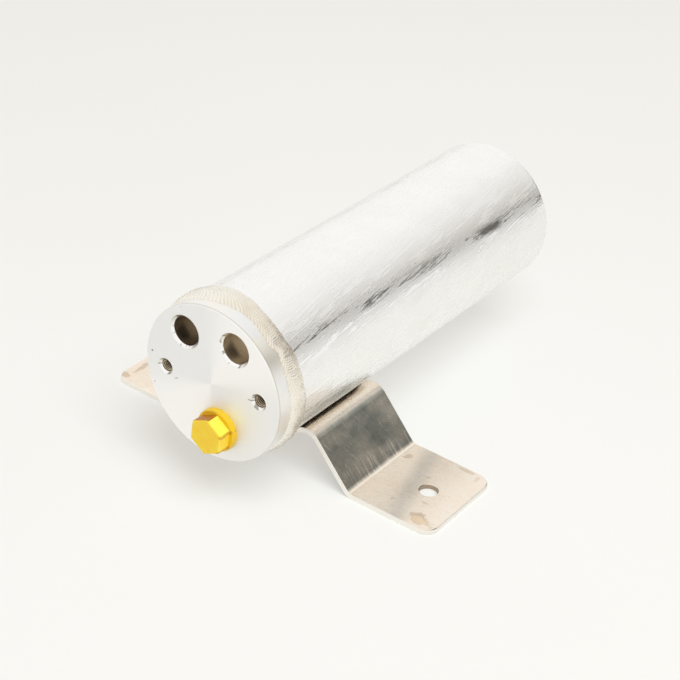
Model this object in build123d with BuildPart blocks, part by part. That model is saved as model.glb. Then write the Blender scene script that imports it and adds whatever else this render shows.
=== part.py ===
from build123d import *
from math import radians, tan
import os

os.makedirs("parts", exist_ok=True)

# Sizes in millimetres. The origin lies midway between the two foot holes,
# on the plane that the feet stand on. The can lies along Y with its head
# towards -Y, and Z is up.

# Can
can_diameter = 76.0
can_wall_thickness = 2.0
can_end_thickness = 3.0
can_end_radius = 2.5
can_inner_corner_radius = 2.0
overall_length = 228.7

# Head
head_overhang_width = 0.5
head_rim_length = 10.0
head_spigot_length = 12.0
head_edge_width = 0.6
head_turn = 5.1
spigot_clearance = 0.1
spigot_lead_length = 1.0

# Refrigerant ports
port_inset_depth = 12.07
port_angle = 33.2
port_bore_diameter = 14.3
port_bore_depth = 11.0
port_chamfer = 1.3
passage_diameter = 8.0

# Tapped mounting holes
screw_inset_depth = 11.0
screw_hole_diameter = 6.0
screw_hole_depth = 14.0
screw_chamfer = 1.2
drill_point_angle = 118.0

# Sensor port and its plug
sensor_inset_depth = 15.92
sensor_angle = 9.12
sensor_thread_diameter = 12.0
sensor_thread_depth = 11.0
sensor_chamfer = 0.8
sensor_passage_diameter = 5.0
plug_clearance = 0.15
plug_flange_diameter = 20.8
plug_flange_thickness = 3.0
plug_hex_width = 16.5
plug_hex_length = 6.7
plug_hex_turn = 20.0
plug_hex_corner_radius = 1.2
plug_shank_length = 9.0
plug_core_diameter = 7.6
plug_end_thickness = 2.5
plug_edge_radius = 0.7

# Weld beads
girth_weld_front_offset = 6.8
girth_weld_rear_offset = 18.8
girth_weld_crown_height = 2.6
strap_weld_leg_length = 4.0
strap_weld_half_angle = 23.0
strap_weld_bulge_height = 0.5

# Bracket strap, with its profile measured from the middle of the can
bracket_offset = 67.8
strap_width = 54.0
strap_thickness = 2.7
strap_edge_width = 0.3
saddle_half_width = 13.6
ridge_half_width = 26.9
ridge_height = 5.3
leg_foot_half_width = 50.7
foot_drop_height = 20.6
bracket_half_width = 96.4
saddle_bend_radius = 6.0
ridge_bend_radius = 9.0
foot_bend_radius = 4.0
foot_corner_radius = 7.5
foot_hole_spacing_length = 155.0
foot_hole_diameter = 9.0

# Pickup tube and strainer
tube_diameter = 10.0
tube_socket_depth = 8.0
tube_clearance = 0.05
strainer_wall_thickness = 1.2
strainer_length = 24.0
strainer_overlap_length = 14.0
strainer_slot_width = 2.4
strainer_slot_length = 6.0
strainer_slot_count = 6
strainer_floor_gap = 1.5

# Filter and drying stack
plate_thickness = 1.2
plate_skirt_length = 10.0
plate_clearance = 0.3
plate_bend_radius = 2.0
pierced_hole_diameter = 5.0
inner_ring_inset_depth = 27.7
inner_ring_count = 5
outer_ring_inset_depth = 18.2
outer_ring_count = 10
tube_hole_clearance = 0.3
pad_thickness = 6.0
pad_clearance = 0.1
bed_length = 100.0

# Bed spring
spring_wire_width = 2.6
spring_wire_thickness = 1.8
spring_mean_radius = 12.6
spring_turns = 5.0

# Values that follow from the sizes above
radius_tolerance = 0.01
can_radius = can_diameter / 2
can_inner_radius = can_radius - can_wall_thickness
head_radius = can_radius + head_overhang_width
port_radius = port_bore_diameter / 2
passage_radius = passage_diameter / 2
screw_hole_radius = screw_hole_diameter / 2
sensor_radius = sensor_thread_diameter / 2
tube_radius = tube_diameter / 2
axis_height = can_radius + foot_drop_height + strap_thickness
face_y = -bracket_offset
can_end_y = face_y + overall_length
can_floor_y = can_end_y - can_end_thickness
spigot_end_y = face_y + head_rim_length + head_spigot_length
plate_radius = can_inner_radius - plate_clearance
inner_ring_radius = plate_radius - inner_ring_inset_depth
outer_ring_radius = plate_radius - outer_ring_inset_depth
stack_radius = can_inner_radius - pad_clearance
tube_hole_radius = tube_radius + tube_hole_clearance
upper_plate_y = spigot_end_y + plate_skirt_length
upper_pad_y = upper_plate_y + plate_thickness
bed_y = upper_pad_y + pad_thickness
lower_pad_y = bed_y + bed_length
lower_plate_y = lower_pad_y + pad_thickness
spring_y = lower_plate_y + plate_thickness


def axis_plane(y, turn=0.0):
    """Plane square to the can's axis at y, facing the front, turned about the axis."""
    right = Vector(1, 0, 0).rotate(Axis.Y, -turn)
    return Plane(origin=(0, y, axis_height), x_dir=right, z_dir=(0, -1, 0))


def turned_plane(y):
    """The same plane turned with the head."""
    return axis_plane(y, head_turn)


def section_plane(turn=0.0):
    """Plane through the can's axis, its x along the axis from the face, turned about the axis."""
    normal = Vector(1, 0, 0).rotate(Axis.Y, turn)
    return Plane(origin=(0, face_y, axis_height), x_dir=(0, 1, 0), z_dir=normal)


def circles(edges, radius):
    """The circular edges of that radius."""
    rings = edges.filter_by(GeomType.CIRCLE)
    return rings.filter_by(lambda edge: abs(edge.radius - radius) < radius_tolerance)


can_axis = Axis((0, face_y, axis_height), (0, 1, 0))
port_up = Vector(0, can_radius - port_inset_depth)
outlet_position = port_up.rotate(Axis.Z, port_angle)
inlet_position = port_up.rotate(Axis.Z, -port_angle)
screw_offset = can_radius - screw_inset_depth
sensor_position = Vector(0, sensor_inset_depth - can_radius).rotate(Axis.Z, sensor_angle)

# Can: a cup drawn in one piece, open towards the head
can_mouth_y = face_y + head_rim_length
with BuildPart() as can:
    with BuildSketch(axis_plane(can_mouth_y)):
        Circle(can_radius)
    extrude(amount=can_mouth_y - can_end_y)
    fillet(can.edges().sort_by(Axis.Y)[-1], radius=can_end_radius)
    with BuildSketch(axis_plane(can_mouth_y)):
        Circle(can_inner_radius)
    extrude(amount=can_mouth_y - can_floor_y, mode=Mode.SUBTRACT)
    fillet(circles(can.edges(), can_inner_radius).sort_by(Axis.Y)[-1], radius=can_inner_corner_radius)
can.part.label = "can"
export_step(can.part, "parts/can.step")

# Head: turned disc and spigot, drilled and tapped from the front
drill_point_length = screw_hole_radius / tan(radians(drill_point_angle / 2))
point_up = (Align.CENTER, Align.CENTER, Align.MAX)
with BuildPart() as head:
    with BuildSketch(axis_plane(face_y)):
        Circle(head_radius)
    extrude(amount=-head_rim_length)
    with BuildSketch(axis_plane(can_mouth_y)):
        Circle(can_inner_radius - spigot_clearance)
    extrude(amount=-head_spigot_length)
    chamfer(head.edges().sort_by(Axis.Y)[0], length=head_edge_width)
    chamfer(head.edges().sort_by(Axis.Y)[-1], length=spigot_lead_length)
    with Locations(turned_plane(face_y)):
        with Locations(outlet_position, inlet_position):
            CounterBoreHole(passage_radius, port_radius, port_bore_depth)
        with Locations((-screw_offset, 0), (screw_offset, 0)):
            Hole(screw_hole_radius, screw_hole_depth)
        with Locations(sensor_position):
            CounterBoreHole(sensor_passage_diameter / 2, sensor_radius, sensor_thread_depth)
    front_mouths = head.faces().sort_by(Axis.Y)[0].inner_wires().edges()
    chamfer(circles(front_mouths, port_radius), length=port_chamfer)
    chamfer(circles(front_mouths, screw_hole_radius), length=screw_chamfer)
    chamfer(circles(front_mouths, sensor_radius), length=sensor_chamfer)
    with Locations(turned_plane(face_y + screw_hole_depth)):
        with Locations((-screw_offset, 0), (screw_offset, 0)):
            Cone(0, screw_hole_radius, drill_point_length, align=point_up, mode=Mode.SUBTRACT)
    with BuildSketch(turned_plane(spigot_end_y)):
        with Locations(outlet_position):
            Circle(tube_radius + tube_clearance)
    extrude(amount=tube_socket_depth, mode=Mode.SUBTRACT)
head.part.label = "head"
export_step(head.part, "parts/head.step")

# Girth weld: a crowned bead over the joint of head and can
girth_weld_middle = (girth_weld_front_offset + girth_weld_rear_offset) / 2
with BuildPart() as girth_weld:
    with BuildSketch(section_plane()):
        with BuildLine():
            Polyline(
                (girth_weld_front_offset, head_radius),
                (head_rim_length, head_radius),
                (head_rim_length, can_radius),
                (girth_weld_rear_offset, can_radius),
            )
            ThreePointArc(
                (girth_weld_rear_offset, can_radius),
                (girth_weld_middle, can_radius + girth_weld_crown_height),
                (girth_weld_front_offset, head_radius),
            )
        make_face()
    revolve(axis=can_axis)
girth_weld.part.label = "girth_weld"
export_step(girth_weld.part, "parts/girth_weld.step")

# Bracket: one strap bent to shape, then pierced and rounded at the feet
saddle_z = axis_height - can_radius
foot_top_z = strap_thickness
foot_hole_x = foot_hole_spacing_length / 2
right_profile = [
    (saddle_half_width, saddle_z),
    (ridge_half_width, saddle_z + ridge_height),
    (leg_foot_half_width, foot_top_z),
]
left_profile = [(-x, z) for x, z in reversed(right_profile)]
right_bends = [saddle_bend_radius, ridge_bend_radius, foot_bend_radius]
with BuildPart() as bracket:
    with BuildSketch(Plane.XZ):
        with BuildLine() as strap_outline:
            FilletPolyline(
                (-bracket_half_width, foot_top_z),
                *left_profile,
                *right_profile,
                (bracket_half_width, foot_top_z),
                radius=list(reversed(right_bends)) + right_bends,
            )
            offset(amount=strap_thickness, side=Side.RIGHT)
        make_face()
    extrude(amount=strap_width / 2, both=True)
    fillet(bracket.edges().filter_by(Axis.Z), radius=foot_corner_radius)
    with Locations((-foot_hole_x, 0, foot_top_z), (foot_hole_x, 0, foot_top_z)):
        Hole(foot_hole_diameter / 2)
    outline = bracket.edges() - bracket.edges().filter_by(Axis.Y) - bracket.edges().filter_by(Axis.Z)
    foot_ends = bracket.faces().filter_by(Axis.X).edges().filter_by(Axis.Y)
    chamfer(outline + foot_ends, length=strap_edge_width)
bracket.part.label = "bracket"
export_step(bracket.part, "parts/bracket.step")

# Strap welds: one fillet bead at each cut edge of the saddle, under the can
strap_front_depth = bracket_offset - strap_width / 2
strap_weld_toe = can_radius + strap_weld_leg_length
strap_weld_middle = strap_weld_leg_length / 2 + strap_weld_bulge_height
with BuildPart() as bracket_weld_front:
    with BuildSketch(section_plane(180 - strap_weld_half_angle)):
        with BuildLine():
            Polyline(
                (strap_front_depth - strap_weld_leg_length, can_radius),
                (strap_front_depth, can_radius),
                (strap_front_depth, strap_weld_toe),
            )
            ThreePointArc(
                (strap_front_depth, strap_weld_toe),
                (strap_front_depth - strap_weld_middle, can_radius + strap_weld_middle),
                (strap_front_depth - strap_weld_leg_length, can_radius),
            )
        make_face()
    revolve(axis=can_axis, revolution_arc=2 * strap_weld_half_angle)
bracket_weld_front.part.label = "bracket_weld_front"
export_step(bracket_weld_front.part, "parts/bracket_weld_front.step")

with BuildPart() as bracket_weld_rear:
    mirror(bracket_weld_front.part, about=Plane.XZ)
bracket_weld_rear.part.label = "bracket_weld_rear"
export_step(bracket_weld_rear.part, "parts/bracket_weld_rear.step")

# Sensor port plug: moulded flange, hexagon and shank, cored out from the back
with BuildPart() as sensor_port_plug:
    with BuildSketch(turned_plane(face_y)):
        with Locations(sensor_position):
            Circle(plug_flange_diameter / 2)
    extrude(amount=plug_flange_thickness)
    flange_seam = sensor_port_plug.edges().filter_by(Axis.Y)
    with BuildSketch(turned_plane(face_y - plug_flange_thickness)):
        with Locations(sensor_position):
            RegularPolygon(
                plug_hex_width / 2,
                side_count=6,
                major_radius=False,
                rotation=plug_hex_turn,
            )
    extrude(amount=plug_hex_length)
    hex_corners = sensor_port_plug.edges().filter_by(Axis.Y) - flange_seam
    fillet(hex_corners, radius=plug_hex_corner_radius)
    fillet(sensor_port_plug.faces().sort_by(Axis.Y)[0].edges(), radius=plug_edge_radius)
    flange_edges = circles(sensor_port_plug.edges(), plug_flange_diameter / 2)
    fillet(flange_edges.sort_by(Axis.Y)[0], radius=plug_edge_radius)
    with BuildSketch(turned_plane(face_y)):
        with Locations(sensor_position):
            Circle(sensor_radius - plug_clearance)
    extrude(amount=-plug_shank_length)
    chamfer(sensor_port_plug.faces().sort_by(Axis.Y)[-1].edges(), length=plug_edge_radius)
    with BuildSketch(turned_plane(face_y + plug_shank_length)):
        with Locations(sensor_position):
            Circle(plug_core_diameter / 2)
    extrude(
        amount=plug_shank_length + plug_flange_thickness + plug_hex_length - plug_end_thickness,
        mode=Mode.SUBTRACT,
    )
sensor_port_plug.part.label = "sensor_port_plug"
export_step(sensor_port_plug.part, "parts/sensor_port_plug.step")

# Pickup tube: from the outlet port's socket down to the strainer
tube_top_y = spigot_end_y - tube_socket_depth
strainer_end_y = can_floor_y - strainer_floor_gap
strainer_y = strainer_end_y - strainer_length
tube_end_y = strainer_y + strainer_overlap_length
with BuildPart() as pickup_tube:
    with BuildSketch(turned_plane(tube_top_y)):
        with Locations(outlet_position):
            Circle(tube_radius)
            Circle(passage_radius, mode=Mode.SUBTRACT)
    extrude(amount=tube_top_y - tube_end_y)
pickup_tube.part.label = "pickup_tube"
export_step(pickup_tube.part, "parts/pickup_tube.step")

# Pickup strainer: moulded cup with slots round its lower end
strainer_radius = tube_radius + strainer_wall_thickness
slot_middle_y = tube_end_y + (strainer_end_y - strainer_wall_thickness - tube_end_y) / 2
with BuildPart() as pickup_strainer:
    with BuildSketch(turned_plane(strainer_y)):
        with Locations(outlet_position):
            Circle(strainer_radius)
    extrude(amount=-strainer_length)
    with BuildSketch(turned_plane(strainer_y)):
        with Locations(outlet_position):
            Circle(tube_radius)
    extrude(amount=strainer_wall_thickness - strainer_length, mode=Mode.SUBTRACT)
    with Locations(turned_plane(slot_middle_y)):
        with Locations(outlet_position):
            with PolarLocations(tube_radius, strainer_slot_count):
                Box(strainer_radius, strainer_slot_width, strainer_slot_length, mode=Mode.SUBTRACT)
pickup_strainer.part.label = "pickup_strainer"
export_step(pickup_strainer.part, "parts/pickup_strainer.step")

# Pierced plates: two like drawn cups, skirts turned away from the bed
plate_rim_end = plate_skirt_length + plate_thickness
with BuildPart() as upper_perforated_plate:
    with BuildSketch(turned_plane(upper_pad_y)):
        Circle(plate_radius)
    extrude(amount=plate_rim_end)
    fillet(upper_perforated_plate.edges().sort_by(Axis.Y)[-1], radius=plate_bend_radius)
    with BuildSketch(turned_plane(upper_plate_y)):
        Circle(plate_radius - plate_thickness)
    extrude(amount=plate_skirt_length, mode=Mode.SUBTRACT)
    with Locations(turned_plane(upper_plate_y)):
        with PolarLocations(inner_ring_radius, inner_ring_count):
            Hole(pierced_hole_diameter / 2)
        with PolarLocations(outer_ring_radius, outer_ring_count):
            Hole(pierced_hole_diameter / 2)
        with Locations(outlet_position):
            Hole(tube_hole_radius)
upper_perforated_plate.part.label = "upper_perforated_plate"
export_step(upper_perforated_plate.part, "parts/upper_perforated_plate.step")

stack_middle_y = (upper_pad_y + lower_plate_y) / 2
with BuildPart() as lower_perforated_plate:
    mirror(upper_perforated_plate.part, about=axis_plane(stack_middle_y))
lower_perforated_plate.part.label = "lower_perforated_plate"
export_step(lower_perforated_plate.part, "parts/lower_perforated_plate.step")

# Filter pads and the bed of drying beads between them
with BuildPart() as upper_filter_pad:
    with BuildSketch(turned_plane(upper_pad_y)):
        Circle(stack_radius)
        with Locations(outlet_position):
            Circle(tube_hole_radius, mode=Mode.SUBTRACT)
    extrude(amount=-pad_thickness)
upper_filter_pad.part.label = "upper_filter_pad"
export_step(upper_filter_pad.part, "parts/upper_filter_pad.step")

with BuildPart() as desiccant_bed:
    with BuildSketch(turned_plane(bed_y)):
        Circle(stack_radius)
        with Locations(outlet_position):
            Circle(tube_hole_radius, mode=Mode.SUBTRACT)
    extrude(amount=-bed_length)
desiccant_bed.part.label = "desiccant_bed"
export_step(desiccant_bed.part, "parts/desiccant_bed.step")

with BuildPart() as lower_filter_pad:
    mirror(upper_filter_pad.part, about=axis_plane(stack_middle_y))
lower_filter_pad.part.label = "lower_filter_pad"
export_step(lower_filter_pad.part, "parts/lower_filter_pad.step")

# Bed spring: flat wire wound between the lower plate and the can's end
spring_rise = can_floor_y - spring_y - spring_wire_thickness
with BuildPart() as bed_spring:
    with BuildLine():
        coil = Helix(
            spring_rise / spring_turns,
            spring_rise,
            spring_mean_radius,
            center=(0, spring_y + spring_wire_thickness / 2, axis_height),
            direction=(0, 1, 0),
        )
    start = coil @ 0
    with BuildSketch(Plane(start, x_dir=start - Vector(0, start.Y, axis_height), z_dir=coil % 0)):
        Rectangle(spring_wire_width, spring_wire_thickness)
    sweep(path=coil, is_frenet=True)
bed_spring.part.label = "bed_spring"
export_step(bed_spring.part, "parts/bed_spring.step")
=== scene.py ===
import math

import bpy
from mathutils import Matrix, Vector, noise


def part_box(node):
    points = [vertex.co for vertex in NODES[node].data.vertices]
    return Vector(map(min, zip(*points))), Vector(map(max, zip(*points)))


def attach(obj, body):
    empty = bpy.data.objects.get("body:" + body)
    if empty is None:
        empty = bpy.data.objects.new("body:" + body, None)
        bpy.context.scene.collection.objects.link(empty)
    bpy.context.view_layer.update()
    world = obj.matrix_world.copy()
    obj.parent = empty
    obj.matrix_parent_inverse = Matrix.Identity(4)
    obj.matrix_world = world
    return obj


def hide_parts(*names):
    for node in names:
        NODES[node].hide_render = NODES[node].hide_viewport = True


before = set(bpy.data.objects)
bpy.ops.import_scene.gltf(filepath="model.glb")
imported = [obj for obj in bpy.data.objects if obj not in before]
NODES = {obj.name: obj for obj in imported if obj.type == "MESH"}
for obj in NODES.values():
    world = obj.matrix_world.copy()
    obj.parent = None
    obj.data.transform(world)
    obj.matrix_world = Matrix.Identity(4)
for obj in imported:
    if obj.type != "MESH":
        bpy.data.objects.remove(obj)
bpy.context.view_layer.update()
MM = 0.001

# Sizes read from the frame
can_low, can_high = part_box("can")
head_low, head_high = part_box("head")
weld_low, weld_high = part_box("girth_weld")
strap_low, strap_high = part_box("bracket")
AXIS_HEIGHT = (can_low.z + can_high.z) / 2
CAN_RADIUS = (can_high.x - can_low.x) / 2
HEAD_RADIUS = (head_high.x - head_low.x) / 2
FACE_Y = head_low.y
CAN_MOUTH_Y = can_low.y
CAN_END_Y = can_high.y
FACE_CENTRE = Vector((0, FACE_Y, AXIS_HEIGHT))
HEAD_TURN = math.radians(5.1)

# Camera, as the photograph was taken
IMAGE_PIXELS = 680
FOCAL_PIXELS = 1669.5
SENSOR_WIDTH = 36.0
CAMERA_AZIMUTH = math.radians(34.38)
CAMERA_ELEVATION = math.radians(32.11)
CAMERA_ROLL = math.radians(4.39)
FACE_PIXEL = (211.1, 384.1)
FACE_DEPTH = 0.74035


def turned(x, z, y=FACE_Y):
    """A point given in millimetres on the turned head, seen from the front."""
    across = x * math.cos(HEAD_TURN) - z * math.sin(HEAD_TURN)
    up = x * math.sin(HEAD_TURN) + z * math.cos(HEAD_TURN)
    return Vector((across * MM, y, AXIS_HEIGHT + up * MM))


def aim_camera():
    """Camera whose picture puts the head's face where the photograph has it."""
    back = Vector((
        math.sin(CAMERA_AZIMUTH) * math.cos(CAMERA_ELEVATION),
        -math.cos(CAMERA_AZIMUTH) * math.cos(CAMERA_ELEVATION),
        math.sin(CAMERA_ELEVATION),
    ))
    level_right = (-back).cross(Vector((0, 0, 1))).normalized()
    level_up = level_right.cross(-back)
    right = math.cos(CAMERA_ROLL) * level_right + math.sin(CAMERA_ROLL) * level_up
    up = math.cos(CAMERA_ROLL) * level_up - math.sin(CAMERA_ROLL) * level_right
    across = (FACE_PIXEL[0] - IMAGE_PIXELS / 2) / FOCAL_PIXELS * FACE_DEPTH
    down = (FACE_PIXEL[1] - IMAGE_PIXELS / 2) / FOCAL_PIXELS * FACE_DEPTH
    place = FACE_CENTRE - across * right + down * up + FACE_DEPTH * back
    camera = bpy.data.objects.new("camera", bpy.data.cameras.new("camera"))
    camera.data.sensor_width = SENSOR_WIDTH
    camera.data.lens = SENSOR_WIDTH * FOCAL_PIXELS / IMAGE_PIXELS
    camera.data.clip_start = 0.05
    camera.matrix_world = Matrix((
        (right.x, up.x, back.x, place.x),
        (right.y, up.y, back.y, place.y),
        (right.z, up.z, back.z, place.z),
        (0, 0, 0, 1),
    ))
    bpy.context.scene.collection.objects.link(camera)
    bpy.context.scene.camera = camera


class NodeTree:
    """Short ways to add nodes to one tree."""

    def __init__(self, tree):
        self.tree = tree

    def node(self, kind, *values, **attributes):
        made = self.tree.nodes.new("ShaderNode" + kind)
        for label, value in attributes.items():
            setattr(made, label, value)
        for socket, value in zip(made.inputs, values):
            self.feed(socket, value)
        return made

    def feed(self, socket, value):
        if isinstance(value, bpy.types.NodeSocket):
            self.tree.links.new(value, socket)
        elif value is not None:
            socket.default_value = value

    def math(self, operation, a, b=0.0, clamp=False):
        return self.node("Math", a, b, operation=operation, use_clamp=clamp).outputs[0]

    def add(self, *values):
        total = values[0]
        for value in values[1:]:
            total = self.math("ADD", total, value)
        return total

    def times(self, *values):
        total = values[0]
        for value in values[1:]:
            total = self.math("MULTIPLY", total, value)
        return total

    def length(self, *axes):
        return self.math("SQRT", self.add(*[self.times(axis, axis) for axis in axes]))

    def vector(self, x, y, z=0.0):
        return self.node("CombineXYZ", x, y, z).outputs[0]

    def stretched(self, axes, scales):
        """The axes as a vector, each times its scale."""
        return self.vector(*[self.times(axis, scale) for axis, scale in zip(axes, scales)])

    def noise(self, vector, scale=1.0, detail=3.0, roughness=0.5):
        made = self.node("TexNoise")
        self.feed(made.inputs["Vector"], vector)
        made.inputs["Scale"].default_value = scale
        made.inputs["Detail"].default_value = detail
        made.inputs["Roughness"].default_value = roughness
        return made.outputs["Fac"]

    def cells(self, vector, scale=1.0, feature="F1"):
        made = self.node("TexVoronoi", feature=feature)
        self.feed(made.inputs["Vector"], vector)
        made.inputs["Scale"].default_value = scale
        return made.outputs["Distance"]

    def span(self, value, low, high, to_low=0.0, to_high=1.0, eased=False):
        """value carried from low..high to to_low..to_high, and held there beyond."""
        made = self.node("MapRange", interpolation_type="SMOOTHSTEP" if eased else "LINEAR")
        for label, entry in zip(("Value", "From Min", "From Max", "To Min", "To Max"), (value, low, high, to_low, to_high)):
            self.feed(made.inputs[label], entry)
        return made.outputs[0]

    def mix(self, share, a, b, blend="MIX"):
        made = self.node("Mix", data_type="RGBA", blend_type=blend)
        self.feed(made.inputs["Factor"], share)
        colors = [socket for socket in made.inputs if socket.type == "RGBA"]
        for socket, value in zip(colors, (a, b)):
            self.feed(socket, value if isinstance(value, bpy.types.NodeSocket) else (*value, 1.0))
        return [socket for socket in made.outputs if socket.type == "RGBA"][0]


class Surface(NodeTree):
    """One procedural material, built up node by node, with places in millimetres."""

    def __init__(self, name, metallic=0.0, **inputs):
        self.material = bpy.data.materials.new(name)
        self.material.use_nodes = True
        super().__init__(self.material.node_tree)
        self.shader = self.tree.nodes["Principled BSDF"]
        self.shader.inputs["Metallic"].default_value = metallic
        for label, value in inputs.items():
            self.shader.inputs[label.replace("_", " ")].default_value = value

    def place(self):
        """x, y and z from the origin."""
        coordinates = self.node("TexCoord").outputs["Object"]
        scaled = self.node("VectorMath", coordinates, (1 / MM,) * 3, operation="MULTIPLY").outputs[0]
        return self.node("SeparateXYZ", scaled).outputs

    def facing(self):
        """x, y and z of the surface's own direction."""
        return self.node("SeparateXYZ", self.node("NewGeometry").outputs["Normal"]).outputs

    def round_place(self):
        """Arc round the can from its top, distance along it and distance from its axis."""
        x, y, z = self.place()
        height = self.math("SUBTRACT", z, AXIS_HEIGHT / MM)
        arc = self.times(self.math("ARCTAN2", x, height), CAN_RADIUS / MM)
        return arc, y, self.length(x, height)

    def face_place(self):
        """Place on the turned head: across and up from the can's axis, and depth behind the face."""
        x, y, z = self.place()
        height = self.math("SUBTRACT", z, AXIS_HEIGHT / MM)
        across = self.add(self.times(x, math.cos(HEAD_TURN)), self.times(height, math.sin(HEAD_TURN)))
        up = self.math("SUBTRACT", self.times(height, math.cos(HEAD_TURN)), self.times(x, math.sin(HEAD_TURN)))
        return across, up, self.math("SUBTRACT", y, FACE_Y / MM)

    def spot(self, axes, centre, reach, ragged=0.0):
        """1 inside an oval patch of that reach, easing to 0 at its edge."""
        offsets = [
            self.math("DIVIDE", self.math("SUBTRACT", axis, middle), half)
            for axis, middle, half in zip(axes, centre, reach)
        ]
        distance = self.length(*offsets)
        return self.span(self.add(distance, ragged), 0.55, 1.1, 1.0, 0.0, eased=True)

    def bump(self, height, distance, under=None):
        """Bump whose height runs over that many millimetres."""
        made = self.node("Bump")
        made.inputs["Distance"].default_value = distance * MM
        self.feed(made.inputs["Height"], height)
        self.feed(made.inputs["Normal"], under)
        return made.outputs[0]

    def finish(self, color=None, roughness=None, normal=None):
        for label, value in (("Base Color", color), ("Roughness", roughness), ("Normal", normal)):
            self.feed(self.shader.inputs[label], value)
        return self.material


# Girth weld, in millimetres and degrees; angles run from +X up towards +Z
WELD_STEPS_ROUND = 1440
WELD_STEPS_ACROSS = 20
WELD_CROWN = 2.3
RIPPLE_PITCH = 2.1
RIPPLE_DEPTH = 0.35
RIPPLE_SWEEP = (2.6, -0.09)
HOLLOW = "hollow"
FRONT_TOE = (
    (-100, 8.2), (-60, 8.6), (-21, 8.6), (-8, 8.0), (4, 7.6), (15, 7.2), (32, 7.8), (40, 8.7), (48, 6.6),
    (56, 7.0), (67, 8.2), (77, 7.8), (86, 6.9), (96, 5.8), (107, 4.9), (125, 5.6), (150, 6.8), (180, 7.4),
    (220, 7.9), (260, 8.2),
)
REAR_TOE = (
    (-100, 19.6), (-60, 20.4), (-20, 20.6), (-2, 20.2), (6, 19.3), (13, 18.5), (25, 18.2), (36, 18.1), (46, 17.0),
    (57, 17.2), (64, 17.5), (84, 19.6), (94, 21.0), (103, 21.6), (111, 22.2), (120, 22.6), (140, 21.8),
    (180, 20.2), (220, 19.4), (260, 19.6),
)


def read_off(table, angle):
    """Value of a table of (angle, value) at that angle, eased between its entries."""
    angle = (angle + 100) % 360 - 100
    for (low, start), (high, stop) in zip(table, table[1:]):
        if low <= angle <= high:
            share = (angle - low) / (high - low)
            return start + (stop - start) * share * share * (3 - 2 * share)
    return table[0][1]


def wander(seed, position, size):
    """A smooth, repeatable irregularity between about -1 and 1."""
    return noise.noise(Vector(position) / size + Vector((seed, 0.37 * seed, 0)))


def mesh_piece(name, vertices, faces, material, smooth=True):
    mesh = bpy.data.meshes.new(name)
    mesh.from_pydata(vertices, [], faces)
    mesh.validate()
    for polygon in mesh.polygons:
        polygon.use_smooth = smooth
    piece = bpy.data.objects.new(name, mesh)
    bpy.context.scene.collection.objects.link(piece)
    piece.data.materials.append(material)
    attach(piece, "root")
    return piece


def grid_faces(rows, columns, closed_rows=False, closed_columns=False):
    """Faces of a grid whose vertices run row by row."""
    faces = []
    for row in range(rows if closed_rows else rows - 1):
        for column in range(columns if closed_columns else columns - 1):
            after = (row + 1) % rows
            beside = (column + 1) % columns
            faces.append((row * columns + column, row * columns + beside, after * columns + beside, after * columns + column))
    return faces


def weld_ripple(along, across):
    """Height of the stacked crescents at that distance along the bead and from its front toe."""
    phase = (along + RIPPLE_SWEEP[0] * across + RIPPLE_SWEEP[1] * across * across) / RIPPLE_PITCH
    phase += 0.32 * wander(3, (along, across, 0), 7.0)
    share = phase % 1.0
    return share * share if share < 0.86 else (1 - share) / 0.14


def girth_bead_point(step, column):
    """A point of the bead, and how deep it lies between two crescents."""
    turn = 360 * step / WELD_STEPS_ROUND
    angle = math.radians(turn)
    seam = (math.cos(angle) * 38, math.sin(angle) * 38, 0)
    front = read_off(FRONT_TOE, turn) + 0.45 * wander(5, seam, 4.0) + 0.25 * wander(6, seam, 1.6)
    rear = read_off(REAR_TOE, turn) + 0.5 * wander(8, seam, 5.0) + 0.25 * wander(9, seam, 1.6)
    share = column / WELD_STEPS_ACROSS
    y = front + (rear - front) * share
    under = HEAD_RADIUS / MM if y < 10 else CAN_RADIUS / MM
    crown = 1 - (2 * share - 1) ** 2
    rise = WELD_CROWN * crown ** 0.75
    crescent = weld_ripple(math.radians(turn) * CAN_RADIUS / MM, y - front)
    ripple = RIPPLE_DEPTH * crescent * min(1, 4 * crown)
    lumps = 0.3 * wander(12, (seam[0], seam[1], y), 6.0) * crown
    base = HEAD_RADIUS / MM + (CAN_RADIUS - HEAD_RADIUS) / MM * share - 0.25
    radius = base + rise * 0.93 + ripple + lumps
    if column in (0, WELD_STEPS_ACROSS):
        radius = under - 0.25
    place = Vector((radius * math.cos(angle) * MM, FACE_Y + y * MM, AXIS_HEIGHT + radius * math.sin(angle) * MM))
    return place, 1 - crescent


def build_girth_bead(material):
    """Hand-laid bead of overlapping crescents round the joint of head and can."""
    points = [
        girth_bead_point(step, column)
        for step in range(WELD_STEPS_ROUND)
        for column in range(WELD_STEPS_ACROSS + 1)
    ]
    vertices, hollows = zip(*points)
    faces = grid_faces(WELD_STEPS_ROUND, WELD_STEPS_ACROSS + 1, closed_rows=True, closed_columns=True)
    bead = mesh_piece("girth_weld_bead", vertices, faces, material)
    bead.data.attributes.new(HOLLOW, "FLOAT", "POINT").data.foreach_set("value", hollows)
    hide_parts("girth_weld")


# Strap welds: a rippled fillet at each cut edge of the saddle
FILLET_STEPS_ROUND = 180
FILLET_STEPS_ACROSS = 10
FILLET_BULGE = 0.45
FILLET_PITCH = 2.6
FILLET_RIPPLE = 0.14
FILLET_END_FADE = 3.0
FILLET_SINK = 0.3


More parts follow.
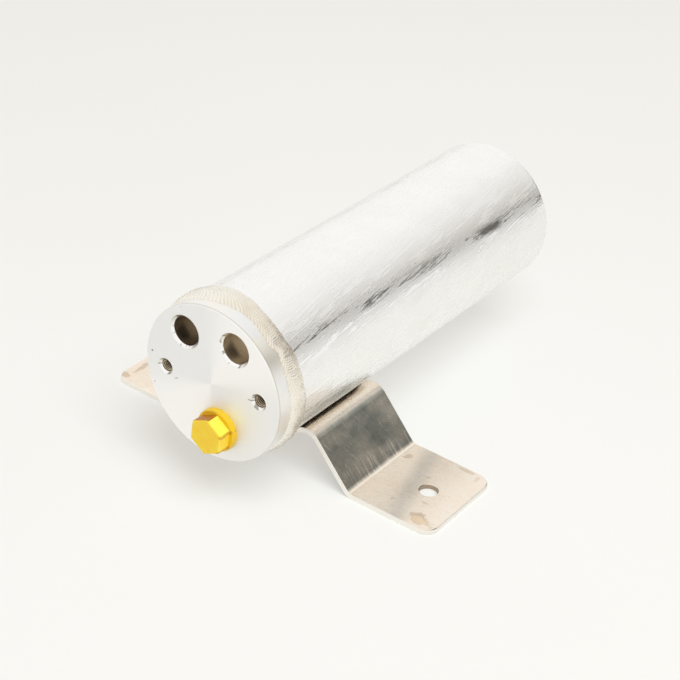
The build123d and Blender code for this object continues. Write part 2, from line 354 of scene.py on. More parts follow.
def fillet_point(half_angle, edge_y, leg, side, step, column):
    """A point of the fillet from the can's skin to the strap's cut edge, sizes in metres."""
    angle = half_angle * (2 * step / FILLET_STEPS_ROUND - 1)
    share = column / FILLET_STEPS_ACROSS
    along = angle * CAN_RADIUS / MM
    arch = 4 * share * (1 - share)
    ends = min(1.0, 0.35 + (half_angle - abs(angle)) * CAN_RADIUS / MM / FILLET_END_FADE)
    phase = ((along + 1.2 * arch + 0.5 * wander(22 + side, (along, column, 0), 5.0)) / FILLET_PITCH) % 1.0
    lift = arch * (FILLET_BULGE + FILLET_RIPPLE * phase * phase + 0.15 * wander(21 + side, (along, column, 0), 3.0))
    push = (lift * ends - FILLET_SINK) * MM
    y = edge_y + side * (leg * (1 - share) * ends + push)
    radius = CAN_RADIUS + leg * share * ends + push
    return Vector((radius * math.sin(angle), y, AXIS_HEIGHT - radius * math.cos(angle)))


def build_strap_fillet(node_name, side, material):
    low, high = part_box(node_name)
    edge_y = low.y if side > 0 else high.y
    leg = high.y - low.y
    half_angle = math.asin(high.x / (CAN_RADIUS + leg))
    vertices = []
    for step in range(FILLET_STEPS_ROUND + 1):
        for column in range(FILLET_STEPS_ACROSS + 1):
            vertices.append(fillet_point(half_angle, edge_y, leg, side, step, column))
        angle = half_angle * (2 * step / FILLET_STEPS_ROUND - 1)
        buried = CAN_RADIUS - FILLET_SINK * MM
        inner_y = edge_y - side * FILLET_SINK * MM
        vertices.append(Vector((buried * math.sin(angle), inner_y, AXIS_HEIGHT - buried * math.cos(angle))))
    faces = grid_faces(FILLET_STEPS_ROUND + 1, FILLET_STEPS_ACROSS + 2, closed_columns=True)
    fillet = mesh_piece(node_name + "_bead", vertices, faces, material)
    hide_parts(node_name)


# Threads of the two tapped holes
THREAD_PITCH = 1.0
THREAD_MAJOR_RADIUS = 3.0
THREAD_MINOR_RADIUS = 2.46
THREAD_STEPS_PER_TURN = 40
THREAD_START = 0.7
THREAD_TURNS = 12
THREAD_PROFILE = ((0.0, 0.0), (0.38, 1.0), (0.62, 1.0), (1.0, 0.0))
SCREW_OFFSET = 27.0


def build_thread(name, across, material):
    """Helical ridge on the wall of a tapped hole, running out at both ends."""
    vertices = []
    steps = THREAD_STEPS_PER_TURN * THREAD_TURNS
    centre = turned(across, 0)
    for step in range(steps + 1):
        turn = step / THREAD_STEPS_PER_TURN
        angle = 2 * math.pi * turn
        run_out = min(1.0, 2.5 * turn, 2.5 * (THREAD_TURNS - turn))
        for along, height in THREAD_PROFILE:
            radius = THREAD_MAJOR_RADIUS + 0.02 - height * run_out * (THREAD_MAJOR_RADIUS - THREAD_MINOR_RADIUS)
            depth = THREAD_START + (turn + along) * THREAD_PITCH
            offset = Vector((radius * math.cos(angle), depth, radius * math.sin(angle))) * MM
            vertices.append(centre + offset)
    faces = grid_faces(steps + 1, len(THREAD_PROFILE), closed_columns=True)
    mesh_piece(name, vertices, faces, material, smooth=False)


# Materials

CAN_COLOR = (0.975, 0.97, 0.955)
CAN_CLOUD_COLOR = (0.95, 0.945, 0.925)
CAN_FLECK_COLOR = (0.62, 0.60, 0.56)
CAN_DRAW_SLANT = 0.13
CAN_BURNISHED_COLOR = (0.92, 0.92, 0.91)
CAN_ROUGHNESS = 0.38
BURNISHED_ROUGHNESS = 0.11
BURNISHED_MARK = (38.3, 108.0)
BURNISHED_MARK_REACH = (4.2, 12.0)
DULL_MIDDLE = 52.0


def can_material():
    """Drawn aluminium with slanting draw marks, some of them burnished bright."""
    s = Surface("drawn_aluminium", metallic=1.0)
    arc, y, radius = s.round_place()
    slanted = s.add(arc, s.times(y, CAN_DRAW_SLANT))
    on_end = s.span(s.facing()[1], 0.5, 0.9)
    slanted = s.add(s.times(slanted, s.math("SUBTRACT", 1.0, on_end)), s.times(radius, on_end))
    marks = s.noise(s.stretched((slanted, y), (1.0, 0.07)), detail=4, roughness=0.6)
    fine = s.noise(s.stretched((slanted, y), (2.0, 0.14)), detail=2)
    patches = s.noise(s.stretched((slanted, y), (0.22, 0.03)), detail=2)
    cloud = s.noise(s.vector(*s.place()), 0.06, detail=4)
    flecks = s.span(s.cells(s.stretched((arc, y), (0.16, 0.08))), 0.03, 0.07, 1.0, 0.0)
    mark = s.spot((arc, y), BURNISHED_MARK, BURNISHED_MARK_REACH, s.times(s.math("SUBTRACT", marks, 0.5), 3.5))
    streaks = s.span(s.add(marks, s.times(patches, 0.6)), 0.78, 0.87, eased=True)
    off_middle = s.math("ABSOLUTE", s.math("SUBTRACT", y, DULL_MIDDLE))
    streaks = s.times(streaks, s.span(off_middle, 12.0, 42.0, 0.75, 1.0, eased=True))
    burnished = s.math("MAXIMUM", streaks, mark)
    color = s.mix(s.span(cloud, 0.35, 0.65), CAN_COLOR, CAN_CLOUD_COLOR)
    color = s.mix(s.times(flecks, s.span(fine, 0.5, 0.65)), color, CAN_FLECK_COLOR)
    color = s.mix(burnished, color, CAN_BURNISHED_COLOR)
    rough = s.span(burnished, 0.0, 1.0, CAN_ROUGHNESS, BURNISHED_ROUGHNESS)
    rough = s.add(rough, s.span(cloud, 0.3, 0.7, -0.03, 0.04))
    normal = s.bump(s.times(marks, s.span(burnished, 0.0, 1.0, 0.35, 1.0)), 0.05)
    return s.finish(color, rough, normal)


# Bright colour of the two painted highlight wings on the face
HEAD_PAINTED_SHEEN_COLOR = (0.99, 0.985, 0.975)
HEAD_DULL_COLOR = (0.90, 0.905, 0.905)
RIM_COLOR = (0.97, 0.94, 0.86)
# Painted shade along the face's outer edge
RIM_PAINTED_SHADE_COLOR = (0.62, 0.55, 0.43)
BORE_COLOR = (1.0, 0.95, 0.85)
# Painted shade deep in the bores
BORE_PAINTED_SHADE_COLOR = (0.60, 0.52, 0.41)
BORE_RING_COLOR = (0.45, 0.38, 0.28)
BORE_LEFT_DARK_COLOR = (0.30, 0.25, 0.19)
# Painted shade inside the tapped holes
TAPPED_PAINTED_SHADE_COLOR = (0.08, 0.06, 0.04)
# Painted light and shade of the port and hole chamfers
CHAMFER_PAINTED_LIGHT_COLOR = (1.0, 0.99, 0.97)
CHAMFER_PAINTED_SHADE_COLOR = (0.52, 0.47, 0.38)
# Colour of the face's pits and of the painted dark reflection on the chamfers
PIT_AND_DARK_REFLECTION_COLOR = (0.22, 0.19, 0.15)
# Direction of the painted highlight's two wings
PAINTED_SHEEN_ANGLE = math.radians(48)
FACE_EDGE = 0.35
FACE_PITS = ((-34.5, 5.9, 0.6), (-20.4, -3.9, 0.45), (-21.6, -4.6, 0.35), (-34.3, -10.3, 0.4))
# Burrs beside the tapped holes
FACE_NICKS = ((22.8, -0.4, 1.8, 0.4), (-30.8, 0.2, 1.0, 0.4), (24.4, 2.4, 0.8, 0.4), (-29.0, 2.6, 0.8, 0.4))


def head_material():
    """Turned face with a painted two-winged highlight and pits, a tanned rim with a painted shade line at its edge,
    bores painted darker with depth as shade, and chamfers painted with light and shade.
    """
    s = Surface("turned_aluminium", metallic=1.0)
    across, up, depth = s.face_place()
    radius = s.length(across, up)
    angle = s.math("ARCTAN2", up, across)
    painted_sheen = s.math("COSINE", s.times(s.math("SUBTRACT", angle, PAINTED_SHEEN_ANGLE), 2.0))
    rings = s.noise(s.stretched((radius, depth), (1.6, 0.0)), detail=3)
    cloud = s.noise(s.vector(across, up, depth), 0.09, detail=3)
    grain = s.noise(s.vector(across, up, depth), 0.9, detail=3)
    pits = s.times(s.span(s.cells(s.vector(across, up, depth), 0.22), 0.03, 0.06, 1.0, 0.0), s.span(cloud, 0.52, 0.6))
    for middle_across, middle_up, reach in FACE_PITS:
        ragged = s.span(grain, 0.3, 0.7, -0.3, 0.3)
        pits = s.math("MAXIMUM", pits, s.spot((across, up), (middle_across, middle_up), (reach, reach), ragged))
    for middle_across, middle_up, reach_across, reach_up in FACE_NICKS:
        ragged = s.span(grain, 0.3, 0.7, -0.3, 0.3)
        nick = s.spot((across, up), (middle_across, middle_up), (reach_across, reach_up), ragged)
        pits = s.math("MAXIMUM", pits, s.times(nick, 0.9))
    # Painted highlight: the face is painted brighter in two opposite wings through its centre
    face = s.mix(s.span(painted_sheen, -0.2, 0.95, eased=True), HEAD_DULL_COLOR, HEAD_PAINTED_SHEEN_COLOR)
    face = s.mix(s.span(rings, 0.35, 0.65, 0.0, 0.08), face, RIM_COLOR)
    rim = s.mix(s.span(cloud, 0.35, 0.65), RIM_COLOR, HEAD_DULL_COLOR)
    # Painted shade: a dark line just behind the face's edge
    rim = s.mix(s.span(depth, 0.7, 1.1, 0.8, 0.0), rim, RIM_PAINTED_SHADE_COLOR)
    # Painted shade: the bores darken with depth
    bore = s.mix(s.span(depth, 1.0, 10.0), BORE_COLOR, BORE_PAINTED_SHADE_COLOR)
    tool_rings = s.noise(s.stretched((depth, depth), (1.4, 0.0)), detail=2)
    bore = s.mix(s.span(tool_rings, 0.5, 0.7, 0.0, 0.5), bore, BORE_RING_COLOR)
    # The left port's bore is made darker
    bore = s.mix(s.span(across, -5.0, 5.0, 0.6, 0.0), bore, BORE_LEFT_DARK_COLOR)
    # Painted shade: the tapped holes' walls are painted near black
    tapped = s.span(s.math("ABSOLUTE", up), 4.2, 4.4, 1.0, 0.0)
    bore = s.mix(tapped, bore, TAPPED_PAINTED_SHADE_COLOR)
    facing = s.facing()
    # Painted light and shade: chamfers are bright where they face up and towards +x, dark where they face away
    towards_light = s.span(s.add(s.times(facing[0], 0.6), s.times(facing[2], 0.8)), -0.5, 0.5, eased=True)
    chamfer = s.mix(towards_light, CHAMFER_PAINTED_SHADE_COLOR, CHAMFER_PAINTED_LIGHT_COLOR)
    # Painted reflection: dark broken patches on the chamfers
    painted_dark_reflection = s.span(s.noise(s.vector(across, up), 0.34, detail=2), 0.54, 0.60)
    chamfer = s.mix(s.times(painted_dark_reflection, 0.7), chamfer, PIT_AND_DARK_REFLECTION_COLOR)
    within = s.span(radius, 36.5, 37.0, 1.0, 0.0)
    color = s.mix(s.span(depth, FACE_EDGE, FACE_EDGE + 0.3), face, rim)
    color = s.mix(s.times(within, s.span(depth, 0.05, 0.12)), color, chamfer)
    color = s.mix(s.times(within, s.span(depth, 1.2, 1.4)), color, bore)
    color = s.mix(s.times(pits, 0.6), color, PIT_AND_DARK_REFLECTION_COLOR)
    rough = s.span(rings, 0.3, 0.7, 0.58, 0.68)
    rough = s.math("SUBTRACT", rough, s.span(depth, FACE_EDGE, FACE_EDGE + 0.3, 0.0, 0.28))
    rough = s.add(rough, s.times(pits, 0.3))
    normal = s.bump(rings, 0.012, s.bump(s.times(pits, -1.0), 0.15))
    return s.finish(color, rough, normal)


WELD_COLOR = (0.97, 0.94, 0.87)
WELD_TAN_COLOR = (0.86, 0.78, 0.65)
WELD_HOLLOW_COLOR = (0.66, 0.58, 0.45)
WELD_TANNED_ARC = 24.0
WELD_SOOT_COLOR = (0.33, 0.30, 0.26)


def weld_material():
    """Bright cream bead, tanned in the hollows, with small grey pits."""
    s = Surface("weld_aluminium", metallic=1.0)
    arc, y, radius = s.round_place()
    cloud = s.noise(s.vector(*s.place()), 0.16, detail=4)
    grain = s.noise(s.vector(*s.place()), 1.1, detail=4)
    hollow = s.node("Attribute", attribute_name=HOLLOW).outputs["Fac"]
    pits = s.times(s.span(s.cells(s.vector(*s.place()), 0.3), 0.04, 0.09, 1.0, 0.0), s.span(cloud, 0.54, 0.6))
    off_tan = s.math("ABSOLUTE", s.math("SUBTRACT", arc, WELD_TANNED_ARC))
    tanned = s.span(off_tan, 8.0, 34.0, 1.0, 0.2, eased=True)
    color = s.mix(s.times(tanned, s.span(cloud, 0.38, 0.66, 0.2, 1.0)), WELD_COLOR, WELD_TAN_COLOR)
    hollow = s.span(hollow, 0.6, 1.0)
    color = s.mix(s.times(hollow, s.add(s.times(tanned, 0.65), 0.15)), color, WELD_HOLLOW_COLOR)
    color = s.mix(s.times(pits, 0.8), color, WELD_SOOT_COLOR)
    rough = s.span(grain, 0.3, 0.7, 0.24, 0.36)
    normal = s.bump(grain, 0.02, s.bump(s.times(pits, -1.0), 0.12))
    return s.finish(color, rough, normal)


STRAP_COLOR = (0.97, 0.88, 0.77)
STRAP_WARM_COLOR = (0.95, 0.83, 0.70)
STRAP_EDGE_COLOR = (0.95, 0.92, 0.87)
# Painted dark reflection on the sloping legs
STRAP_LEG_PAINTED_REFLECTION_COLOR = (0.25, 0.27, 0.245)
FOOT_PAINTED_REFLECTION_COLOR = (0.66, 0.62, 0.57)
# Painted shade on the foot holes' walls
HOLE_WALL_PAINTED_SHADE_COLOR = (0.50, 0.40, 0.30)
FOOT_HOLE = (77.5, 4.7)
STRAP_EDGE_BAND = 0.35
SCRATCH_COLOR = (0.97, 0.93, 0.86)
# Colour of the stains and of the painted shade on the left foot
STAIN_AND_SHADE_COLOR = (0.42, 0.28, 0.15)
OLIVE_COLOR = (0.50, 0.47, 0.38)
# Stains on the strap's top: place, reach along x and y, and strength; the broad faint one at (-86, -10) is painted
# shade on the left foot
STAINS_AND_PAINTED_SHADE = (
    (87.0, -20.6, 7.0, 3.8, 0.5), (55.0, 15.7, 2.2, 2.8, 0.4), (83.0, 25.0, 5.5, 1.2, 0.3), (90.0, 22.5, 1.4, 3.0, 0.2),
    (-91.5, -11.0, 1.6, 9.0, 0.4), (-93.0, -23.0, 3.0, 2.2, 0.4),
    (72.0, 8.0, 1.6, 1.2, 0.3), (-86.0, -10.0, 17.0, 26.0, 0.10), (81.0, -9.0, 2.2, 0.8, 0.25), (68.0, -16.0, 1.0, 1.0, 0.3),
)
# Paler middle of the largest stain
STAIN_HEART = (87.4, -21.4)
STAIN_HEART_REACH = (5.6, 2.6)
STAIN_HEART_COLOR = (0.90, 0.72, 0.52)
# The painted band of dark reflection that crosses the foot at +x: place at the middle, lean and half-width
PAINTED_REFLECTION_BAND = (69.0, 0.285, 8.0)


def strap_material():
    """Mill-finish strap: beige, rolled along its length, scratched, stained, bright at the cut edges; painted dark
    reflection on the sloping legs and in a band across the foot at +x, painted shade on part of the left foot and on
    the foot holes' walls.
    """
    s = Surface("strap_aluminium", metallic=1.0)
    x, y, z = s.place()
    facing = s.facing()
    cloud = s.noise(s.vector(x, y, z), 0.05, detail=4)
    grain = s.noise(s.vector(x, y, z), 0.7, detail=4)
    soaked = s.noise(s.vector(x, y, z), 0.22, detail=3)
    rolled = s.noise(s.stretched((x, y, z), (0.1, 1.3, 0.1)), detail=3)
    run = s.add(s.times(x, 0.8), s.times(y, 0.6))
    over = s.math("SUBTRACT", s.times(y, 0.8), s.times(x, 0.6))
    slashes = s.span(s.noise(s.stretched((run, over), (0.06, 1.6)), detail=2), 0.655, 0.69)
    scratches = s.math("MAXIMUM", slashes, s.span(rolled, 0.66, 0.70))
    color = s.mix(s.span(cloud, 0.35, 0.65), STRAP_COLOR, STRAP_WARM_COLOR)
    color = s.mix(s.span(grain, 0.56, 0.75, 0.0, 0.12), color, OLIVE_COLOR)
    # Painted reflection: steeply sloping faces are painted dark, less so where wiped streaks cross their lower ends
    sloping = s.span(s.math("ABSOLUTE", facing[0]), 0.35, 0.68, eased=True)
    blotch = s.noise(s.stretched((x, y, z), (0.12, 0.07, 0.12)), detail=4)
    painted_leg_reflection = s.times(sloping, s.span(blotch, 0.3, 0.7, 0.55, 1.0))
    wiped = s.times(s.span(s.noise(s.stretched((x, y, z), (0.05, 1.1, 0.05)), detail=2), 0.5, 0.7), s.span(z, 7.5, 10.5, 1.0, 0.0))
    painted_leg_reflection = s.math("SUBTRACT", painted_leg_reflection, s.times(wiped, sloping, 0.5), clamp=True)
    color = s.mix(painted_leg_reflection, color, STRAP_LEG_PAINTED_REFLECTION_COLOR)
    middle, lean, half = PAINTED_REFLECTION_BAND
    off_band = s.math("ABSOLUTE", s.math("SUBTRACT", s.add(x, s.times(y, lean)), middle))
    # Painted reflection: a grey band across the foot
    painted_band = s.times(s.span(off_band, 0.0, half, 1.0, 0.0, eased=True), s.span(cloud, 0.3, 0.6, 0.6, 1.0), 0.75)
    color = s.mix(painted_band, color, FOOT_PAINTED_REFLECTION_COLOR)
    color = s.mix(s.times(scratches, 0.25), color, SCRATCH_COLOR)
    # Stains, and one broad patch of painted shade on the left foot
    for middle_x, middle_y, reach_x, reach_y, strength in STAINS_AND_PAINTED_SHADE:
        ragged = s.span(soaked, 0.3, 0.7, -0.4, 0.4)
        patch = s.spot((x, y), (middle_x, middle_y), (reach_x, reach_y), ragged)
        color = s.mix(s.times(patch, strength), color, STAIN_AND_SHADE_COLOR)
    heart = s.spot((x, y), STAIN_HEART, STAIN_HEART_REACH, s.span(soaked, 0.3, 0.7, -0.3, 0.3))
    color = s.mix(s.times(heart, 0.85), color, STAIN_HEART_COLOR)
    side = s.span(s.math("ABSOLUTE", y), strap_high.y / MM - STRAP_EDGE_BAND, strap_high.y / MM - 0.2)
    end = s.span(s.math("ABSOLUTE", x), strap_high.x / MM - STRAP_EDGE_BAND, strap_high.x / MM - 0.2)
    upright = s.span(s.length(facing[0], facing[1]), 0.9, 0.97)
    edge = s.math("MAXIMUM", s.math("MAXIMUM", side, end), upright)
    color = s.mix(edge, color, STRAP_EDGE_COLOR)
    # Painted shade: the walls of the foot holes are painted dark
    hole_x, hole_radius = FOOT_HOLE
    off_hole = s.length(s.math("SUBTRACT", s.math("ABSOLUTE", x), hole_x), y)
    color = s.mix(s.span(off_hole, hole_radius - 0.1, hole_radius, 1.0, 0.0), color, HOLE_WALL_PAINTED_SHADE_COLOR)
    rough = s.add(s.span(rolled, 0.3, 0.7, 0.19, 0.26), s.times(s.span(grain, 0.4, 0.7), 0.05))
    rough = s.add(rough, s.times(edge, 0.35))
    normal = s.bump(rolled, 0.010, s.bump(s.times(scratches, -1.0), 0.015))
    return s.finish(color, rough, normal)


PLUG_COLOR = (1.0, 0.68, 0.03)
PLUG_WARM_COLOR = (1.0, 0.74, 0.05)
# Painted light on the plug's facet towards +x
PLUG_PAINTED_LIGHT_COLOR = (1.0, 0.86, 0.10)
# Painted shade on the plug's facet that faces up
PLUG_PAINTED_SHADE_COLOR = (0.44, 0.15, 0.0)
PLUG_FLANGE_COLOR = (0.84, 0.55, 0.02)
PLUG_MARK_COLOR = (0.50, 0.20, 0.005)
PLUG_MARKS = ((12.6, -19.4, 1.2, 1.1), (10.8, -27.8, 1.6, 1.0))


def plug_material():
    """Moulded yellow plastic with a painted lit facet towards +x, painted shade on the facet that faces up, and two
    small darker marks.
    """
    s = Surface("yellow_plastic", Roughness=0.3)
    s.shader.inputs["Specular IOR Level"].default_value = 0.3
    across, up, depth = s.face_place()
    facing = s.facing()
    cloud = s.noise(s.vector(across, up, depth), 0.25, detail=3)
    grain = s.noise(s.vector(across, up, depth), 1.6, detail=3)
    flow = s.noise(s.vector(across, up, depth), 0.5, detail=2)
    hexagon = s.span(depth, -3.4, -3.0, 1.0, 0.0)
    # Painted light and shade: hex facets facing up are painted dark, those facing +x are painted bright
    painted_shaded_top = s.times(s.span(facing[2], 0.84, 0.89), hexagon)
    painted_lit_side = s.times(s.span(facing[0], 0.35, 0.5), s.span(facing[0], 0.75, 0.9, 1.0, 0.0), hexagon)
    color = s.mix(s.span(cloud, 0.35, 0.65), PLUG_COLOR, PLUG_WARM_COLOR)
    color = s.mix(s.times(painted_lit_side, 0.8), color, PLUG_PAINTED_LIGHT_COLOR)
    color = s.mix(hexagon, PLUG_FLANGE_COLOR, color)
    color = s.mix(painted_shaded_top, color, PLUG_PAINTED_SHADE_COLOR)
    for middle_across, middle_up, reach_across, reach_up in PLUG_MARKS:
        ragged = s.span(flow, 0.3, 0.7, -0.5, 0.5)
        patch = s.spot((across, up), (middle_across, middle_up), (reach_across, reach_up), ragged)
        color = s.mix(s.times(patch, 0.6), color, PLUG_MARK_COLOR)
    rough = s.span(grain, 0.3, 0.7, 0.26, 0.40)
    return s.finish(color, rough, s.bump(grain, 0.03, s.bump(cloud, 0.2)))


THREAD_CREST_COLOR = (1.0, 0.84, 0.60)
# Painted shade in the thread roots
THREAD_ROOT_PAINTED_SHADE_COLOR = (0.10, 0.07, 0.04)


def thread_material():
    """Tan crests over near-black roots that are painted shade, the crests painted darker deeper in the hole as shade.
    """
    s = Surface("cut_thread", metallic=1.0)
    across, up, depth = s.face_place()
    off_axis = s.length(s.math("SUBTRACT", s.math("ABSOLUTE", across), SCREW_OFFSET), up)
    grain = s.noise(s.vector(across, up, depth), 1.5, detail=3)
    crest = s.span(off_axis, THREAD_MINOR_RADIUS + 0.1, THREAD_MINOR_RADIUS + 0.25, 1.0, 0.0)
    # Painted shade: the crests fade towards the root colour deeper in the hole
    crest = s.times(crest, s.span(depth, 2.5, 5.5, 1.0, 0.1), s.span(grain, 0.25, 0.6, 0.6, 1.0))
    color = s.mix(crest, THREAD_ROOT_PAINTED_SHADE_COLOR, THREAD_CREST_COLOR)
    return s.finish(color, s.span(grain, 0.3, 0.7, 0.30, 0.45), s.bump(grain, 0.05))


def drawn_tube_material():
    s = Surface("drawn_tube", metallic=1.0)
    x, y, z = s.place()
    lines = s.noise(s.stretched((x, y, z), (1.5, 0.05, 1.5)), detail=3)
    color = s.mix(s.span(lines, 0.3, 0.7), (0.86, 0.86, 0.85), (0.72, 0.72, 0.70))
    return s.finish(color, s.span(lines, 0.3, 0.7, 0.22, 0.36), s.bump(lines, 0.02))


def pressed_steel_material():
    s = Surface("pressed_steel", metallic=1.0)
    x, y, z = s.place()
    cloud = s.noise(s.vector(x, y, z), 0.12, detail=4)
    lines = s.noise(s.stretched((x, y, z), (0.08, 1.0, 1.4)), detail=3)
    color = s.mix(s.span(cloud, 0.35, 0.65), (0.62, 0.62, 0.61), (0.50, 0.49, 0.47))
    return s.finish(color, s.span(lines, 0.3, 0.7, 0.28, 0.44), s.bump(lines, 0.02))


def spring_material():
    s = Surface("spring_steel", metallic=1.0)
    cloud = s.noise(s.vector(*s.place()), 0.3, detail=4)
    grain = s.noise(s.vector(*s.place()), 2.0, detail=3)
    color = s.mix(s.span(cloud, 0.35, 0.65), (0.42, 0.42, 0.43), (0.30, 0.28, 0.27))
    return s.finish(color, s.span(grain, 0.3, 0.7, 0.30, 0.45), s.bump(grain, 0.02))


def strainer_material():
    s = Surface("strainer_plastic")
    cloud = s.noise(s.vector(*s.place()), 0.2, detail=3)
    grain = s.noise(s.vector(*s.place()), 2.5, detail=3)
    color = s.mix(s.span(cloud, 0.35, 0.65), (0.84, 0.84, 0.80), (0.78, 0.77, 0.71))
    return s.finish(color, s.span(grain, 0.3, 0.7, 0.38, 0.52), s.bump(grain, 0.03))


def felt_material():
    s = Surface("pressed_felt")
    x, y, z = s.place()
    fibres = s.noise(s.stretched((x, y, z), (2.2, 5.0, 0.8)), detail=5, roughness=0.7)
    tufts = s.noise(s.vector(x, y, z), 0.5, detail=4)
    color = s.mix(s.span(fibres, 0.3, 0.7), (0.88, 0.87, 0.82), (0.72, 0.70, 0.63))
    color = s.mix(s.span(tufts, 0.5, 0.7, 0.0, 0.4), color, (0.64, 0.60, 0.50))
    return s.finish(color, s.span(tufts, 0.3, 0.7, 0.85, 0.98), s.bump(fibres, 0.4, s.bump(tufts, 0.6)))


def beads_material():
    """Packed drying beads about three millimetres across."""
    s = Surface("drying_beads")
    place = s.vector(*s.place())
    bead = s.cells(place, 0.34)
    grain = s.noise(place, 2.0, detail=3)
    cloud = s.noise(place, 0.12, detail=3)
    color = s.mix(s.span(cloud, 0.35, 0.65), (0.84, 0.76, 0.62), (0.74, 0.64, 0.48))
    # Painted shade in the gaps between the beads
    color = s.mix(s.span(bead, 0.35, 0.75), color, (0.34, 0.27, 0.18))
    color = s.mix(s.span(grain, 0.5, 0.7, 0.0, 0.25), color, (0.92, 0.87, 0.76))
    return s.finish(color, s.span(grain, 0.3, 0.7, 0.6, 0.8), s.bump(s.times(bead, -1.0), 1.2))


# Studio

FLOOR_SIZE = 4.0
FLOOR_COLOR = (0.94, 0.94, 0.915)
FLOOR_WORN_COLOR = (0.925, 0.922, 0.895)
BACKDROP_COLOR = (0.95, 0.95, 0.92)
BACKDROP_SHARE = 0.45
FILL_COLOR = (1.0, 0.87, 0.78)
FILL_LEVEL = 0.50
REFLECTED_COLOR = (1.0, 0.995, 0.98)
REFLECTED_LEVEL = 1.0
DIM_TINT_COLOR = (1.0, 0.95, 0.88)
BACKDROP_LEVEL = 0.94
WALL_COLOR = (1.0, 0.995, 0.97)
# The dim stretch that bare metal mirrors, behind the object to the right
DIM_AZIMUTH = math.radians(140)
DIM_HALF_WIDTH = math.radians(36)
DIM_SLANT = 1.3
DIM_LEVEL_AZIMUTH = math.radians(138)
DIM_EDGE_WIDTH = math.radians(22)
DIM_LEVELS = ((0.0, 1.0), (9.0, 1.0), (13.0, 0.12), (21.0, 0.14), (25.0, 0.66), (38.0, 0.84), (52.0, 0.94), (70.0, 1.0), (90.0, 1.0))
LAMP_PLACE = (1.05, -0.60, 2.1)
LAMP_SIZE = 1.6
LAMP_WATTS = 39.0
LAMP_COLOR = (0.98, 1.06, 1.10)


def build_floor():
    mesh = bpy.data.meshes.new("floor")
    half = FLOOR_SIZE / 2
    mesh.from_pydata([(-half, -half, 0), (half, -half, 0), (half, half, 0), (-half, half, 0)], [], [(0, 1, 2, 3)])
    floor = bpy.data.objects.new("floor", mesh)
    bpy.context.scene.collection.objects.link(floor)
    surface = Surface("floor", Roughness=0.9)
    surface.shader.inputs["Specular IOR Level"].default_value = 0.0
    cloud = surface.noise(surface.vector(*surface.place()), 0.004, detail=2)
    color = surface.mix(surface.span(cloud, 0.35, 0.65), FLOOR_COLOR, FLOOR_WORN_COLOR)
    backdrop = surface.node("Emission", (*BACKDROP_COLOR, 1.0), 1.0)
    path = surface.node("LightPath").outputs
    seen = surface.times(surface.add(path["Is Camera Ray"], path["Is Glossy Ray"]), BACKDROP_SHARE)
    blend = surface.node("MixShader", seen, surface.shader.outputs[0], backdrop.outputs[0])
    surface.feed(surface.tree.nodes["Material Output"].inputs["Surface"], blend.outputs[0])
    floor.data.materials.append(surface.finish(color))


def dim_stretch(sky):
    """1 over most of the sky, falling to dark in the dim stretch."""
    x, y, z = sky.node("SeparateXYZ", sky.node("TexCoord").outputs["Generated"]).outputs
    azimuth = sky.math("ARCTAN2", x, sky.times(y, -1.0))
    lean = sky.span(sky.math("SUBTRACT", azimuth, DIM_LEVEL_AZIMUTH), -0.15, 0.15, -0.15 * DIM_SLANT, 0.15 * DIM_SLANT)
    elevation = sky.times(sky.add(sky.math("ARCSINE", z), lean), 180 / math.pi)
    ramp = sky.node("FloatCurve")
    curve = ramp.mapping.curves[0]
    points = [(degrees / 90, level) for degrees, level in DIM_LEVELS]
    curve.points[0].location = points[0]
    curve.points[1].location = points[-1]
    for point in points[1:-1]:
        curve.points.new(*point)
    for point in curve.points:
        point.handle_type = "VECTOR"
    ramp.mapping.update()
    sky.feed(ramp.inputs["Value"], sky.span(elevation, 0.0, 90.0))
    off_side = sky.math("ABSOLUTE", sky.math("SUBTRACT", azimuth, DIM_AZIMUTH))
    inside = sky.span(off_side, DIM_HALF_WIDTH, DIM_HALF_WIDTH + DIM_EDGE_WIDTH, 1.0, 0.0, eased=True)
    drop = sky.times(inside, sky.math("SUBTRACT", 1.0, ramp.outputs[0]))
    return sky.math("SUBTRACT", 1.0, drop)


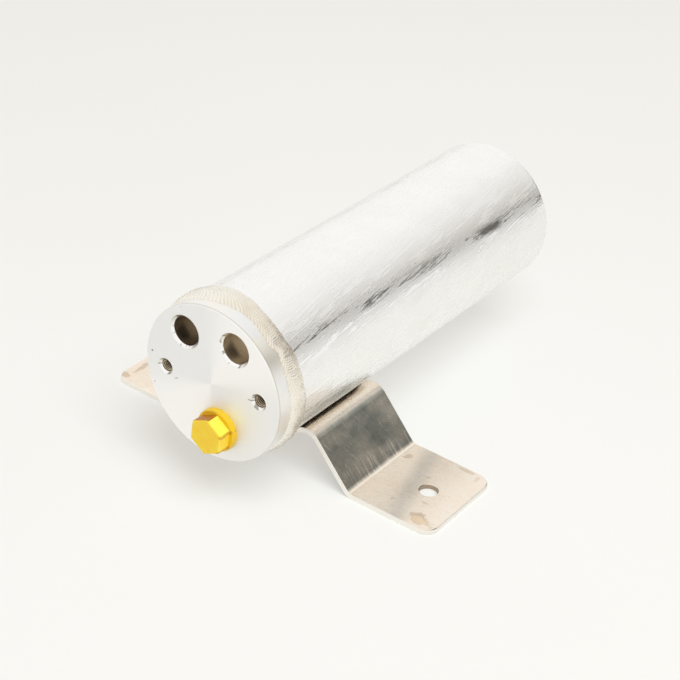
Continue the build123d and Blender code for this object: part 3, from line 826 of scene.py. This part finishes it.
def build_sky():
    """Even soft fill; bare metal mirrors a white room with one dim stretch in it."""
    world = bpy.data.worlds.new("studio")
    world.use_nodes = True
    sky = NodeTree(world.node_tree)
    sky.tree.nodes.clear()
    path = sky.node("LightPath").outputs
    mirrored = path["Is Glossy Ray"]
    seen = path["Is Camera Ray"]
    open_sky = dim_stretch(sky)
    level = sky.mix(mirrored, (FILL_LEVEL,) * 3, sky.times(open_sky, REFLECTED_LEVEL))
    level = sky.mix(seen, level, (BACKDROP_LEVEL,) * 3)
    reflected = sky.mix(sky.span(open_sky, 0.55, 1.0, 1.0, 0.0), REFLECTED_COLOR, DIM_TINT_COLOR)
    color = sky.mix(mirrored, FILL_COLOR, reflected)
    color = sky.mix(seen, color, WALL_COLOR)
    background = sky.node("Background", color, level)
    sky.node("OutputWorld", background.outputs[0])
    bpy.context.scene.world = world


def build_lamp():
    lamp = bpy.data.objects.new("soft_lamp", bpy.data.lights.new("soft_lamp", "AREA"))
    lamp.data.shape = "SQUARE"
    lamp.data.size = LAMP_SIZE
    lamp.data.energy = LAMP_WATTS
    lamp.data.color = LAMP_COLOR
    lamp.location = LAMP_PLACE
    lamp.rotation_euler = (FACE_CENTRE - Vector(LAMP_PLACE)).to_track_quat("-Z", "Y").to_euler()
    lamp.visible_glossy = False
    bpy.context.scene.collection.objects.link(lamp)


def dress(node_name, material):
    piece = NODES[node_name]
    piece.data.materials.clear()
    piece.data.materials.append(material)


aim_camera()
build_floor()
build_sky()
build_lamp()
bpy.context.scene.view_settings.view_transform = "Standard"

felt = felt_material()
pressed_steel = pressed_steel_material()
dress("can", can_material())
dress("head", head_material())
dress("bracket", strap_material())
dress("sensor_port_plug", plug_material())
dress("pickup_tube", drawn_tube_material())
dress("pickup_strainer", strainer_material())
dress("upper_perforated_plate", pressed_steel)
dress("lower_perforated_plate", pressed_steel)
dress("upper_filter_pad", felt)
dress("lower_filter_pad", felt)
dress("desiccant_bed", beads_material())
dress("bed_spring", spring_material())

weld = weld_material()
build_girth_bead(weld)
build_strap_fillet("bracket_weld_front", -1, weld)
build_strap_fillet("bracket_weld_rear", 1, weld)
thread = thread_material()
build_thread("thread_right", SCREW_OFFSET, thread)
build_thread("thread_left", -SCREW_OFFSET, thread)
